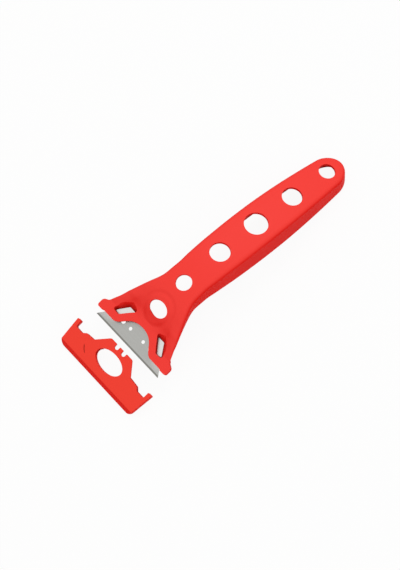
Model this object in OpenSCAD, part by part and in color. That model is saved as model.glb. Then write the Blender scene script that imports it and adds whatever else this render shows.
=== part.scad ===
// Hand scraper for razor blades: a moulded hollow handle, a flat trapezium blade
// held between the jaws of its head, and a push-on guard, shown taken off.
// Everything is in millimetres. The cutting edge is the origin of the handle's
// own frame: x runs to the tail, z up. The last step stands the set on z = 0.

/* [Blade] */
// Length of the cutting edge
blade_len = 61; // [59:0.5:62]
// Depth of the blade from the cutting edge to its back
blade_depth = 19; // [18:0.25:19.25]
// Thickness of the sheet
blade_t = 0.6; // [0.4:0.05:0.6]
// Width of the ground band along the cutting edge
bevel_w = 1.3; // [0.8:0.1:2]
// Radius of the two inner fixing holes
inner_hole_r = 1.25; // [1:0.05:1.6]
// Radius of the two outer fixing holes
outer_hole_r = 1.6; // [1.2:0.05:1.8]

/* [Handle] */
// Distance from the cutting edge to the tip of the tail, along the table
handle_len = 191.7; // [180:1:205]
// Distance from the cutting edge to the neck, where the head becomes the grip
neck_x = 50; // [49:0.5:51]
// Greatest height of the back of the grip above the cutting edge
crest_h = 28.25; // [27:0.25:30]
// Height of the skirt's lower rim at the neck
rim_h = 13.7; // [12.5:0.1:15]
// Greatest width of the grip's top
grip_w = 30; // [28:0.5:33]
// Wall of the skirt and thickness of the grip's back
wall = 2; // [1.6:0.1:2.4]
// Radius of the soft edge between the back and the skirt
edge_r = 3; // [2.5:0.1:3.5]
// Length of the rounded end of the tail
cap_l = 12.6; // [11.5:0.1:14]
// Angle between the blade and the table, in degrees
blade_pitch = 18.7; // [18:0.1:19.5]

/* [Head] */
// Reach of each lobe of the jaws past the end of the cutting edge
lobe_reach = 2.9; // [2.5:0.1:3.2]
// Height of the jaws' top face over the middle of the blade
jaw_top = 3.1; // [2.9:0.1:3.4]
// Depth of the jaws' lower face under the middle of the blade
jaw_low = 2.1; // [1.8:0.1:2.5]
// Length of blade that shows in front of the jaws
blade_out = 5.2; // [4.8:0.1:5.6]
// Width of the arch's mouth in the front of the head
arch_w = 34; // [33:0.5:35]
// Length of blade that stays covered behind the top of the arch
arch_behind = 2.9; // [2.5:0.1:3.5]
// Thickness of the lips of the arch, which lie over the tongue of the guard
lip_t = 1; // [0.8:0.1:1.2]

/* [Holes] */
// Radius of the round hole at the neck
neck_hole_r = 5.6; // [5:0.1:6]
// Radius of the two round holes beside the middle one
grip_hole_r = 7.1; // [6:0.1:7.5]
// Radius of the largest round hole, in the middle of the grip
mid_hole_r = 8.3; // [7:0.1:9]
// Radius of the hanging hole at the tail
tail_hole_r = 5.8; // [5:0.1:6.2]
// Width of the oval hole in the head
oval_w = 14.6; // [13:0.2:15]
// Length of the oval hole in the head
oval_l = 10.8; // [9.6:0.1:12]

/* [Guard] */
// Thickness of the arms, which embrace the lobes of the jaws
arm_t = 3.1; // [2.6:0.1:3.5]
// Length of the guard from its front to the root of the tongue
guard_l = 18; // [17:0.2:19]
// Thickness of the guard
guard_t = 4.4; // [4:0.1:4.8]
// Width of the oval window in the guard
guard_oval_w = 22.8; // [20:0.2:24]
// Length of the oval window in the guard
guard_oval_l = 13; // [11:0.2:13.4]
// Distance between the tip of the tongue and the top of the arch when the guard is on
tongue_short = 2; // [1.6:0.1:2.4]
// How far the guard is pulled off, as shown
guard_off = 18; // [15:0.5:24]

/* [Fits] */
// Play on each face of the blade in its slot
slot_play = 0.05; // [0.04:0.01:0.1]
// Play between the guard and the jaws
guard_play = 0.1; // [0.08:0.01:0.2]

/* [Hidden] */

arc_fn = 60;
bore_fn = 96;
corner_steps = 6;
overrun = 4;
hair = 0.01;

// colours of the pieces
red_col = [0.9, 0.2, 0.15];
steel_col = [0.7, 0.7, 0.69];

// smooth curve through the rows of a table, with the slope of its neighbours
function row_at(t, x, i = 0) = (i < len(t) - 2 && x > t[i + 1][0]) ? row_at(t, x, i + 1) : i;
function gap_slope(t, i) = (t[i + 1][1] - t[i][1]) / (t[i + 1][0] - t[i][0]);
function row_slope(t, i) =
    i == 0 ? gap_slope(t, 0)
    : i == len(t) - 1 ? gap_slope(t, i - 1)
    : (t[i + 1][1] - t[i - 1][1]) / (t[i + 1][0] - t[i - 1][0]);
function smooth(t, x) =
    let (i = row_at(t, x), h = t[i + 1][0] - t[i][0], u = (x - t[i][0]) / h)
    let (a = t[i][1], b = t[i + 1][1], p = row_slope(t, i) * h, q = row_slope(t, i + 1) * h)
    a + p * u + (3 * (b - a) - 2 * p - q) * u * u + (2 * (a - b) + p + q) * u * u * u;

// rows of shares made into lengths: along the head, and along the grip
function on_head(shares, high) = [for (r = shares) [r[0] * neck_x, r[1] * high]];
function on_grip(shares, high) = [for (r = shares) [neck_x + r[0] * grip_run, r[1] * high]];
function in_size(shares, first, second) = [for (r = shares) [r[0] * first, r[1] * second]];

// half outline in s and y, closed by its mirror image, and a round stretch
function both(half) = concat(half, [for (i = [len(half) - 1 : -1 : 0]) [half[i][0], -half[i][1]]]);
function arc(c, r, a, b) =
    [for (i = [0 : corner_steps])
        let (t = a + (b - a) * i / corner_steps)
        [c[0] + r * cos(t), c[1] + r * sin(t)]];

// the blade's plane: s from the cutting edge to the tail, n up from its middle
sp = sin(blade_pitch);
cp = cos(blade_pitch);
tp = sp / cp;
end_lean_share = 0.72;
back_half = blade_len / 2 - end_lean_share * blade_depth;
edge_t = 0.06;
hole_share = 0.487;
inner_hole_y = 6.25;
outer_hole_y = 13.2;
slot_top = blade_t / 2 + slot_play;

// outline of the head, shares of the jaws' length and of half the head's width
head_half = blade_len / 2 + lobe_reach;
jaw_behind = 2;
jaw_rear = blade_depth + jaw_behind;
jaw_side_shares = [[0.686, 0.826], [0.771, 0.689], [1, 0.557]];
step_in = 2.5;
step_y = blade_len / 2 - step_in;
step_out = 0.6;
lobe_front_r = 1;
lobe_rear_r = 2.2;
lobe_rear_share = 0.543;
lobe_rear_s = lobe_rear_share * jaw_rear;
fillet_r = 2;
fillet_share = 0.648;
fillet_s = fillet_share * jaw_rear;
fillet_y = head_half - 1.2 * fillet_r;
plate_inset = 1.6;
jaw_sides = in_size(jaw_side_shares, jaw_rear, head_half);

// the arch, shares of half its mouth and of its distance from the cutting edge
arch_s = blade_depth - arch_behind;
arch_shares = [[0, 1], [0.194, 0.988], [0.353, 0.95], [0.506, 0.87], [0.659, 0.733],
               [0.812, 0.547], [1, 0.323], [1.088, 0.248]];
arch_rows = in_size(arch_shares, arch_w / 2, arch_s);
arch_half = arch_rows[len(arch_rows) - 1][0];
arch_steps = 18;

// windows beside the arch: the way through, and the wider mouth on top
low_window_shares = [[0.481, 0.584], [0.5, 0.674], [0.557, 0.68],
                     [0.925, 0.487], [0.938, 0.38], [0.886, 0.35]];
top_window_shares = [[0.481, 0.584], [0.519, 0.764], [0.61, 0.784],
                     [1.043, 0.551], [1.062, 0.389], [0.886, 0.35]];
low_window = in_size(low_window_shares, jaw_rear, head_half);
top_window = in_size(top_window_shares, jaw_rear, head_half);
top_window_n = 4.6;

// crest of the handle: level with the jaws, then up over the head to the grip
grip_run = handle_len - neck_x;
start_share = 0.232;
start_x = start_share * neck_x;
flat_x = 17;
skin_rise = 0.02;
function flat_z(x) = jaw_top / cp + x * tp + skin_rise;
head_crest_shares = [[0.41, 0.404], [0.48, 0.527], [0.554, 0.637], [0.66, 0.758], [0.8, 0.86]];
grip_crest_shares = [[0, 0.944], [0.042, 0.974], [0.106, 0.996], [0.162, 1], [0.223, 0.988],
                     [0.449, 0.906], [0.678, 0.754], [0.905, 0.538], [1, 0.432]];
crest_line = concat(
    [for (x = [start_x, (start_x + flat_x) / 2, flat_x]) [x, flat_z(x)]],
    on_head(head_crest_shares, crest_h),
    on_grip(grip_crest_shares, crest_h));

// lower rim of the skirt
head_rim_shares = [[start_share, 0.445], [0.28, 0.489], [0.354, 0.628], [0.434, 0.745],
                   [0.594, 0.934], [0.74, 1.051], [0.88, 1.029]];
grip_rim_shares = [[0, 1], [0.111, 0.861], [0.224, 0.664], [0.337, 0.504], [0.45, 0.358],
                   [0.562, 0.234], [0.675, 0.131], [0.788, 0.051], [0.905, 0], [1, 0]];
rim_line = concat(on_head(head_rim_shares, rim_h), on_grip(grip_rim_shares, rim_h));

// half width of the top
head_flank_shares = [[start_share, 0.883], [0.274, 0.85], [0.314, 0.82], [0.354, 0.79], [0.434, 0.743],
                     [0.534, 0.677], [0.654, 0.59], [0.74, 0.53], [0.834, 0.467], [0.92, 0.428]];
grip_flank_shares = [[0.02, 0.922], [0.06, 0.91], [0.111, 0.94], [0.224, 0.98], [0.337, 1], [0.45, 1],
                     [0.562, 0.98], [0.675, 0.933], [0.788, 0.867], [0.905, 0.78], [1, 0.69]];
flank_line = concat(on_head(head_flank_shares, head_half), on_grip(grip_flank_shares, grip_w / 2));

// soft edge, outward lean of the skirt's foot, lift of the head's flanks, and crown
lean_out = 0.6;
lift_h = 2.1;
crown_h = 0.3;
head_edge_shares = [[start_share, 0.27], [0.3, 0.53], [0.4, 1], [0.52, 1.33], [0.72, 1.33], [1, 1.07]];
head_lean_shares = [[start_share, -0.67], [0.48, -0.5], [0.72, 0.33], [1, 1]];
head_lift_shares = [[start_share, 0], [0.29, 0.52], [0.36, 1], [0.44, 0.81], [0.52, 0.24], [0.6, 0]];
head_crown_shares = [[start_share, 0.07], [0.34, 0.17], [0.54, 1]];
edge_line = concat(on_head(head_edge_shares, edge_r), [[handle_len, edge_r]]);
lean_line = concat(on_head(head_lean_shares, lean_out), [[handle_len, lean_out]]);
lift_line = concat(on_head(head_lift_shares, lift_h), [[handle_len, 0]]);
crown_line = concat(on_head(head_crown_shares, crown_h), [[handle_len, crown_h]]);
// places across the top as shares of its half width, with the share of the lift there
across_shares = [[0.93, 1], [0.84, 0.8], [0.74, 0.3], [0.5, 0]];
least_r = 0.2;

// the rounded end of the tail, as a quarter oval on the tapering sides
cap_x = handle_len - cap_l;
cap_last = 88;
cap_steps = 14;
body_steps = 40;
function cap_share(x) = x <= cap_x ? 1 : sqrt(max(0, 1 - pow((x - cap_x) / cap_l, 2)));
function half_w(x) = smooth(flank_line, x) * cap_share(x);
function spread(x) = (half_w(x + hair) - half_w(x - hair)) / (2 * hair);

// one station: its place on the side line and the way that its ring shrinks
function station_x(first, k) =
    k <= body_steps ? first + (cap_x - first) * k / body_steps
    : cap_x + cap_l * sin(cap_last * (k - body_steps) / cap_steps);
function shrink_x(x) = x <= cap_x ? 0 : -spread(x) / sqrt(1 + pow(spread(x), 2));
function shrink_y(x) = pow(1 + pow(spread(x), 2), x <= cap_x ? 0.5 : -0.5);

// half of a ring, from the rim up to the middle of the top
function half_ring(x, inset, drop, low) =
    let (r = max(least_r, smooth(edge_line, x) - inset), dx = shrink_x(x), dy = shrink_y(x), y = half_w(x))
    let (lift = smooth(lift_line, x), foot = inset - smooth(lean_line, x), crown = smooth(crown_line, x))
    let (edge = [for (a = [0 : 90 / corner_steps : 90])
            let (o = inset + r * (1 - cos(a)), px = x - dx * o)
            [px, max(hair, y - dy * o), smooth(crest_line, px) + lift - drop - r * (1 - sin(a))]])
    let (last = edge[len(edge) - 1])
    concat(
        [[x - dx * foot, max(hair, y - dy * foot), smooth(rim_line, x) - low]],
        edge,
        [for (s = across_shares)
            [last[0], last[1] * s[0], last[2] - lift * (1 - s[1]) + crown * (1 - s[0] * s[0])]]);
function full_ring(h) = concat(h, [for (i = [len(h) - 1 : -1 : 0]) [h[i][0], -h[i][1], h[i][2]]]);

// solid skin through the rings: inset, drop and low shrink it for the hollow
module skin(first, inset, drop, low) {
    n = body_steps + cap_steps;
    rings = [for (k = [0 : n]) full_ring(half_ring(station_x(first, k), inset, drop, low))];
    m = len(rings[0]);
    sides = [for (i = [0 : n - 1]) for (j = [0 : m - 1])
        let (a = i * m + j, b = (i + 1) * m + j, c = (i + 1) * m + (j + 1) % m, d = i * m + (j + 1) % m)
        each [[a, b, c], [a, c, d]]];
    front = [for (j = [0 : m / 2 - 2])
        each [[j, j + 1, m - 2 - j], [j, m - 2 - j, m - 1 - j]]];
    e = n * m;
    rear = [for (j = [0 : m / 2 - 2])
        each [[e + j + 1, e + j, e + m - 1 - j], [e + j + 1, e + m - 1 - j, e + m - 2 - j]]];
    polyhedron(points = [for (r = rings) each r], faces = concat(sides, front, rear), convexity = 6);
}

// the guard's outline, u from the root of its tongue, + to the head
guard_root = blade_out - guard_play;
tongue_low = slot_top + slot_play;
tongue_top = jaw_top - lip_t - guard_play;
guard_low = guard_t - tongue_top;
guard_taper = 1.6;
guard_corner_r = 4;
arm_in = head_half + guard_play;
guard_half = arm_in + arm_t;
arm_tip = 2.2;
arm_mid = arm_in + arm_t / 2;
notch_u = -2.7;
notch_r = 1.15;
notch_out = arm_in - 2 * notch_r;
notch_in_share = 0.812;
notch_in = notch_in_share * arm_in;
shoulder_share = 0.74;
shoulder_u = -0.6;
shoulder_y = shoulder_share * arm_in;
lip_reach = 1.2;
tongue_len = arch_s - tongue_short - guard_root;
tongue_root = arch_w / 2 + lip_reach;
tongue_end_share = 0.582;
tongue_end = tongue_end_share * tongue_root;
tongue_r = 1.2;
finger_half = 1.7;
finger_slot = 3;
finger_deep = 3.2;
pocket_deep = 6.1;
pocket_side = 0.5;
pocket_half_t = 0.6;
guard_oval_u = -3.2;

// side view of the guard's front: a short upright, then a quarter oval
nose_back = 4;
nose_up = 0.4;
nose_steps = 9;
nose = [for (i = [0 : nose_steps])
    let (a = 90 * i / nose_steps)
    [-guard_l + nose_back * (1 - cos(a)), nose_up - guard_low + (guard_t - nose_up) * sin(a)]];

// placing: the blade's plane, and the stand on the guard's edge and the tail's foot
module in_blade_plane() {
    rotate([0, -blade_pitch, 0])
        children();
}
guard_place = guard_root - guard_off;
function plane_x(s, n) = s * cp - n * sp;
function plane_z(s, n) = s * sp + n * cp;
low_x = plane_x(guard_place - guard_l, -guard_low);
low_z = plane_z(guard_place - guard_l, -guard_low);
foot_x = handle_len + lean_out;
stand_tilt = atan(-low_z / (foot_x - low_x));
stand_lift = foot_x * sin(stand_tilt);
function stand_x(x, z) = x * cos(stand_tilt) + z * sin(stand_tilt);
front_x = min([for (p = nose) stand_x(plane_x(guard_place + p[0], p[1]), plane_z(guard_place + p[0], p[1]))]);
mid_x = (stand_x(foot_x, 0) + front_x) / 2;
module stand() {
    translate([-mid_x, 0, stand_lift])
        rotate([0, stand_tilt, 0])
            children();
}

// slab between two heights over the blade's plane
module slab(low, high) {
    translate([0, 0, low])
        linear_extrude(height = high - low)
            children();
}
module oval(w, l) {
    polygon([for (a = [0 : 360 / arc_fn : 359]) [l / 2 * cos(a), w / 2 * sin(a)]]);
}
module blade_plan(grow) {
    polygon(both([[-grow, blade_len / 2 + grow], [blade_depth + grow, back_half + grow]]));
}
module tongue_plan(grow) {
    polygon(both(concat(
        [[-overrun, tongue_root + grow], [0, tongue_root + grow]],
        arc([tongue_len - tongue_r + grow, tongue_end - tongue_r / 2], tongue_r, 40, 0))));
}

// handle
module jaw_plan() {
    polygon(both(concat(
        [[blade_out, step_y], [blade_out - step_out, step_y + step_out]],
        arc([blade_out - step_out + lobe_front_r, head_half - lobe_front_r], lobe_front_r, 180, 90),
        arc([lobe_rear_s - lobe_rear_r, head_half - lobe_rear_r], lobe_rear_r, 90, 10),
        arc([fillet_s, fillet_y], fillet_r, 165, 262),
        jaw_sides)));
}
module lower_plan() {
    polygon(both([
        [blade_out, step_y], [blade_out + plate_inset, head_half - plate_inset],
        [lobe_rear_s, head_half - 2 * plate_inset],
        [jaw_sides[1][0], jaw_sides[1][1] - plate_inset / 2],
        [jaw_rear - plate_inset / 2, jaw_sides[2][1] - plate_inset / 2]]));
}
module jaws() {
    slab(-slot_top, jaw_top)
        jaw_plan();
    slab(-jaw_low, hair - slot_top)
        lower_plan();
}
module arch_plan() {
    polygon(both(concat(
        [for (i = [0 : arch_steps]) let (y = i * arch_half / arch_steps) [smooth(arch_rows, y), y]],
        [[-overrun, arch_half + overrun]])));
}
module window() {
    slab(-overrun, slot_top + hair)
        polygon(low_window);
    hull() {
        slab(slot_top, slot_top + hair)
            polygon(low_window);
        slab(top_window_n, top_window_n + overrun)
            polygon(top_window);
    }
}
head_back = 5.1;
hollow_x = jaw_rear * cp + head_back;
oval_x = 27.7;
oval_deep = 9;
round_holes = [
    [neck_x, neck_hole_r], [neck_x + 0.223 * grip_run, grip_hole_r], [neck_x + 0.449 * grip_run, mid_hole_r],
    [neck_x + 0.678 * grip_run, grip_hole_r], [neck_x + 0.905 * grip_run, tail_hole_r]];
function pitch_at(x) = atan((smooth(crest_line, x + wall) - smooth(crest_line, x - wall)) / (2 * wall));
module on_crest(x, turn) {
    translate([x, 0, smooth(crest_line, x)])
        rotate([0, -turn, 0])
            children();
}
module handle() {
    color(red_col)
    stand()
    difference() {
        union() {
            in_blade_plane()
                jaws();
            skin(start_x, 0, 0, 0);
        }
        skin(hollow_x, wall, wall, overrun);
        in_blade_plane() {
            slab(-slot_top, slot_top)
                blade_plan(slot_play);
            slab(-overrun, jaw_top + overrun)
                arch_plan();
            slab(-overrun, tongue_top + guard_play)
                translate([guard_root, 0])
                    tongue_plan(guard_play);
            window();
            mirror([0, 1, 0])
                window();
        }
        for (h = round_holes)
            on_crest(h[0], pitch_at(h[0]))
                cylinder(r = h[1], h = 2 * overrun, center = true, $fn = bore_fn);
        on_crest(oval_x, pitch_at(oval_x) / 2)
            slab(-oval_deep, oval_deep)
                oval(oval_w, oval_l);
    }
}

// blade
module blade() {
    color(steel_col)
    stand()
    in_blade_plane()
    difference() {
        intersection() {
            slab(-blade_t / 2, blade_t / 2)
                blade_plan(0);
            translate([0, blade_len, 0])
                rotate([90, 0, 0])
                    linear_extrude(height = 2 * blade_len)
                        polygon([[0, -edge_t / 2], [bevel_w, -blade_t / 2],
                                 [blade_depth + overrun, -blade_t / 2], [blade_depth + overrun, blade_t / 2],
                                 [bevel_w, blade_t / 2], [0, edge_t / 2]]);
        }
        for (side = [1, -1]) {
            translate([hole_share * blade_depth, side * inner_hole_y, 0])
                cylinder(r = inner_hole_r, h = overrun, center = true, $fn = bore_fn);
            translate([hole_share * blade_depth, side * outer_hole_y, 0])
                cylinder(r = outer_hole_r, h = overrun, center = true, $fn = bore_fn);
        }
    }
}

// guard
module guard_plan() {
    polygon(both(concat(
        arc([-guard_l + guard_corner_r, guard_half - guard_taper - guard_corner_r], guard_corner_r, 180, 95),
        [[arm_tip - 2 * (guard_half - arm_mid), guard_half]],
        arc([arm_tip - (guard_half - arm_mid), arm_mid], guard_half - arm_mid, 60, -60),
        [[arm_tip - 2 * (guard_half - arm_mid), arm_in]],
        arc([notch_u + notch_r, arm_in - notch_r], notch_r, 90, 270),
        [[notch_u, notch_out], [notch_u, notch_in], [shoulder_u, shoulder_y], [0, tongue_root]])));
}
module guard_side() {
    translate([0, 2 * guard_half, 0])
        rotate([90, 0, 0])
            linear_extrude(height = 4 * guard_half)
                polygon(concat(
                    [[overrun, -guard_low], [-guard_l, -guard_low]],
                    nose,
                    [[overrun, tongue_top]]));
}
module finger_slots() {
    for (side = [1, -1])
        translate([tongue_len - finger_deep + finger_slot / 2, side * (finger_half + finger_slot / 2), 0]) {
            cylinder(r = finger_slot / 2, h = 2 * overrun, center = true, $fn = arc_fn);
            translate([0, -finger_slot / 2, -overrun])
                cube([2 * finger_deep, finger_slot, 2 * overrun]);
        }
}
module guard() {
    color(red_col)
    stand()
    in_blade_plane()
    translate([guard_place, 0, 0])
    difference() {
        union() {
            intersection() {
                slab(-guard_low, tongue_top)
                    guard_plan();
                guard_side();
            }
            slab(tongue_low, tongue_top)
                tongue_plan(0);
        }
        slab(-pocket_half_t, pocket_half_t)
            polygon(both([[-pocket_deep, blade_len / 2 + pocket_side], [0, blade_len / 2 + pocket_side]]));
        translate([guard_oval_u, 0, 0])
            slab(-overrun, overrun)
                oval(guard_oval_w, guard_oval_l);
        finger_slots();
    }
}

handle();
blade();
guard();
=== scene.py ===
# %% [markdown]
# A hand scraper for razor blades lies on a pale table with its guard pulled off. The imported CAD
# model is the fixed frame: it says where the handle, the blade and the guard are and how they move.
# This lesson dresses it. The handle and the guard are mouldings with soft edges, so they are
# modelled again from the same sizes with finer curves, and the blade keeps its CAD solid.

# %% Load the frame
import bpy
import bmesh
import math
from mathutils import Matrix, Vector


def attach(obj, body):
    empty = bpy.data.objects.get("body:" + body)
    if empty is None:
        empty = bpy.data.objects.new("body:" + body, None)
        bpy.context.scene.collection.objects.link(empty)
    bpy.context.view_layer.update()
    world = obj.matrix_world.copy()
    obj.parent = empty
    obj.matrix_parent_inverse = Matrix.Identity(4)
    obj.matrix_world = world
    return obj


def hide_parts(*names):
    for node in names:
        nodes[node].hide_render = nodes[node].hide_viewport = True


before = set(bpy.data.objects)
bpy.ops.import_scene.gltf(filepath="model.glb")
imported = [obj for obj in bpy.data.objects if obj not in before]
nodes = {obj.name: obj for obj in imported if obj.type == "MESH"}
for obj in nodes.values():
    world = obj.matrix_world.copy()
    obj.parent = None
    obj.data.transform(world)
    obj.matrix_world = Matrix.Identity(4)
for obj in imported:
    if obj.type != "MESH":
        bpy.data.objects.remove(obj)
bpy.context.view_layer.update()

# %% [markdown]
# All sizes are millimetres in the handle's own frame: the cutting edge is the origin, x runs to
# the tail and z goes up. They are the sizes of the CAD source, so that the finer mouldings fit the
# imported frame. What fits into something else is worked out from the same values and a play.

# %% Sizes
MM = 0.001
blade_len, blade_depth, blade_t, bevel_w = 61.0, 19.0, 0.6, 1.3
blade_out, end_lean_share, blade_pitch = 5.2, 0.72, math.radians(18.7)
handle_len, neck_x, crest_h, rim_h, grip_w = 191.7, 50.0, 28.25, 13.7, 30.0
wall, edge_r, cap_l, lean_out = 2.0, 3.0, 12.6, 0.6
lobe_reach, jaw_top, jaw_low, jaw_behind = 2.9, 3.1, 2.1, 2.0
arch_w, arch_behind, lip_t, lip_reach = 34.0, 2.9, 1.0, 1.2
arm_t, guard_l, guard_t, guard_off, tongue_short = 3.1, 18.0, 4.4, 18.0, 2.0
slot_play, guard_play, overrun = 0.05, 0.1, 4.0
head_half = blade_len / 2 + lobe_reach
jaw_rear = blade_depth + jaw_behind
arch_s = blade_depth - arch_behind
slot_top = blade_t / 2 + slot_play
arm_in = head_half + guard_play
guard_half = arm_in + arm_t
guard_root = blade_out - guard_play
guard_place = guard_root - guard_off
tongue_top = jaw_top - lip_t - guard_play
tongue_len = arch_s - tongue_short - guard_root
tongue_root = arch_w / 2 + lip_reach
guard_low = guard_t - tongue_top
print("head", round(2 * head_half, 1), "mm wide, guard", round(2 * guard_half, 1), "mm wide")

# %% [markdown]
# The blade lies in a plane that climbs at 18.7 degrees: s runs along it from the cutting edge and
# n stands on it. At rest the set touches the table with the front of the guard and with the tail,
# which tilts the handle's frame a little. Two matrices carry points from the handle's frame and
# from the blade's plane into the frame of the model, so no piece has to be placed by hand.

# %% The two matrices
nose_back, nose_up, nose_steps = 4.0, 0.4, 9
nose = []
for i in range(nose_steps + 1):
    a = math.radians(90 * i / nose_steps)
    nose.append((-guard_l + nose_back * (1 - math.cos(a)),
                 nose_up - guard_low + (guard_t - nose_up) * math.sin(a)))
pitch_sin, pitch_cos = math.sin(blade_pitch), math.cos(blade_pitch)


def plane_point(s, n):
    return s * pitch_cos - n * pitch_sin, s * pitch_sin + n * pitch_cos


low_x, low_z = plane_point(guard_place - guard_l, -guard_low)
foot_x = handle_len + lean_out
tilt = math.atan(-low_z / (foot_x - low_x))
front_x = min(x * math.cos(tilt) + z * math.sin(tilt)
              for x, z in (plane_point(guard_place + u, n) for u, n in nose))
mid_x = (foot_x * math.cos(tilt) + front_x) / 2
lift_up = foot_x * math.sin(tilt)
TO_HANDLE = Matrix.Rotation(-blade_pitch, 4, "Y")
TO_ROW = (Matrix.Scale(MM, 4) @ Matrix.Translation((-mid_x, 0, lift_up))
          @ Matrix.Rotation(tilt, 4, "Y"))
BLADE_TO_ROW = TO_ROW @ TO_HANDLE
print("tilt of the stand", round(math.degrees(tilt), 3), "degrees")

# %% [markdown]
# The camera stands where the photograph's camera stood: high over the tool, to the front left,
# with a long lens. Its place was found by matching the round holes and the outline, as numbers in
# the handle's frame, so the same matrix that stands the tool on the floor also turns the camera.

# %% Camera
aim = Vector((64.09, 0.0, 0.0))
az, el, distance = math.radians(-41.785), math.radians(67.536), 1314.6
focal_px, photo_h = 1985.5, 570
back = Vector((math.sin(az) * math.cos(el), -math.cos(az) * math.cos(el), math.sin(el)))
right = Vector((math.cos(az), math.sin(az), 0))
camera_up = back.cross(right)
spin = Matrix.Rotation(tilt, 3, "Y")
cam_data = bpy.data.cameras.new("camera")
cam_data.sensor_fit = "AUTO"
cam_data.sensor_width = 36.0
cam_data.lens = focal_px / photo_h * cam_data.sensor_width
cam_data.clip_start, cam_data.clip_end = 0.05, 20.0
camera = bpy.data.objects.new("camera", cam_data)
bpy.context.scene.collection.objects.link(camera)
axes = Matrix((spin @ right, spin @ camera_up, spin @ back)).transposed()
camera.matrix_world = Matrix.Translation(TO_ROW @ (aim + back * distance)) @ axes.to_4x4()
bpy.context.scene.camera = camera
print("camera", [round(v, 4) for v in camera.location], "lens", round(cam_data.lens, 2))

# %% [markdown]
# A mesh object is made from plain points and faces. Points that fall together are merged, and the
# faces are turned outwards, because cutting needs a closed mesh with a clear inside.

# %% Meshes from points and faces
weld = 1e-4


def solid(name, points, faces):
    mesh = bpy.data.meshes.new(name)
    mesh.from_pydata([tuple(p) for p in points], [], faces)
    made = bpy.data.objects.new(name, mesh)
    bpy.context.scene.collection.objects.link(made)
    return made


def tidy_faces(obj):
    bm = bmesh.new()
    bm.from_mesh(obj.data)
    bmesh.ops.remove_doubles(bm, verts=bm.verts, dist=weld)
    bmesh.ops.recalc_face_normals(bm, faces=bm.faces)
    bm.to_mesh(obj.data)
    bm.free()


print("points closer than", weld, "mm are merged")

# %% [markdown]
# Modifiers do the joining, cutting and rounding, and each is baked into the mesh at once, so that
# the next step works on plain faces. Cuts use the MANIFOLD solver, which is quick and keeps closed
# meshes closed.

# %% Joining, cutting and rounding
soft_turn = math.radians(30)


def bake(obj):
    graph = bpy.context.evaluated_depsgraph_get()
    graph.update()
    mesh = bpy.data.meshes.new_from_object(obj.evaluated_get(graph))
    obj.modifiers.clear()
    old, obj.data = obj.data, mesh
    bpy.data.meshes.remove(old)
    return obj


def combine(base, tool, operation):
    step = base.modifiers.new(operation.lower(), "BOOLEAN")
    step.operation, step.solver, step.object = operation, "MANIFOLD", tool
    bake(base)
    bpy.data.objects.remove(tool)
    return base


def soften(obj, width, segments=3):
    step = obj.modifiers.new("soft edges", "BEVEL")
    step.width, step.segments = width, segments
    step.limit_method, step.angle_limit = "ANGLE", soft_turn
    step.use_clamp_overlap = True
    return bake(obj)


print("edges that turn by more than", round(math.degrees(soft_turn)), "degrees get soft")

# %% [markdown]
# A smooth curve through a few rows of a table gives each long line of the handle: its crest, the
# lower rim of its skirt and its half width. The slope at a row is that of its two neighbours,
# which is how a draughtsman's spline would run through the same points.

# %% Smooth lines
def smooth(rows, x):
    i = 0
    while i < len(rows) - 2 and x > rows[i + 1][0]:
        i += 1

    def slope(k):
        a, b = max(0, k - 1), min(len(rows) - 1, k + 1)
        return (rows[b][1] - rows[a][1]) / (rows[b][0] - rows[a][0])

    h = rows[i + 1][0] - rows[i][0]
    u = (x - rows[i][0]) / h
    a, b, p, q = rows[i][1], rows[i + 1][1], slope(i) * h, slope(i + 1) * h
    return a + p * u + (3 * (b - a) - 2 * p - q) * u * u + (2 * (a - b) + p + q) * u ** 3


grip_run = handle_len - neck_x
print("a smooth line from 0 to 1 is at", smooth([(0, 0), (1, 1)], 0.5), "halfway")


def on_head(shares, high):
    return [(share * neck_x, value * high) for share, value in shares]


def on_grip(shares, high):
    return [(neck_x + share * grip_run, value * high) for share, value in shares]


# %% [markdown]
# The tables hold shares, of the head's or the grip's length and of a height or a half width. Over
# the jaws the crest follows the blade's plane. Behind them it climbs to the top of the grip and
# falls to the tail. The lower rim of the skirt is highest at the neck, and from there it comes
# down to the table at the tail.

# %% Long lines of the handle
start_share, flat_x, skin_rise = 0.232, 17.0, 0.02
lift_h, crown_h = 2.1, 0.3
start_x, cap_x = start_share * neck_x, handle_len - cap_l
crest_line = [(x, jaw_top / pitch_cos + x * (pitch_sin / pitch_cos) + skin_rise)
              for x in (start_x, (start_x + flat_x) / 2, flat_x)]
crest_line += on_head([(0.41, 0.404), (0.48, 0.527), (0.554, 0.637), (0.66, 0.758),
                       (0.8, 0.86)], crest_h)
crest_line += on_grip([(0, 0.944), (0.042, 0.974), (0.106, 0.996), (0.162, 1), (0.223, 0.988),
                       (0.449, 0.906), (0.678, 0.754), (0.905, 0.538), (1, 0.432)], crest_h)
rim_line = on_head([(start_share, 0.445), (0.28, 0.489), (0.354, 0.628), (0.434, 0.745),
                    (0.594, 0.934), (0.74, 1.051), (0.88, 1.029)], rim_h)
rim_line += on_grip([(0, 1), (0.111, 0.861), (0.224, 0.664), (0.337, 0.504), (0.45, 0.358),
                     (0.562, 0.234), (0.675, 0.131), (0.788, 0.051), (0.905, 0), (1, 0)], rim_h)
flank_line = on_head([(start_share, 0.883), (0.274, 0.85), (0.314, 0.82), (0.354, 0.79),
                      (0.434, 0.743), (0.534, 0.677), (0.654, 0.59), (0.74, 0.53),
                      (0.834, 0.467), (0.92, 0.428)], head_half)
flank_line += on_grip([(0.02, 0.922), (0.06, 0.91), (0.111, 0.94), (0.224, 0.98), (0.337, 1),
                       (0.45, 1), (0.562, 0.98), (0.675, 0.933), (0.788, 0.867), (0.905, 0.78),
                       (1, 0.69)], grip_w / 2)
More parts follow.
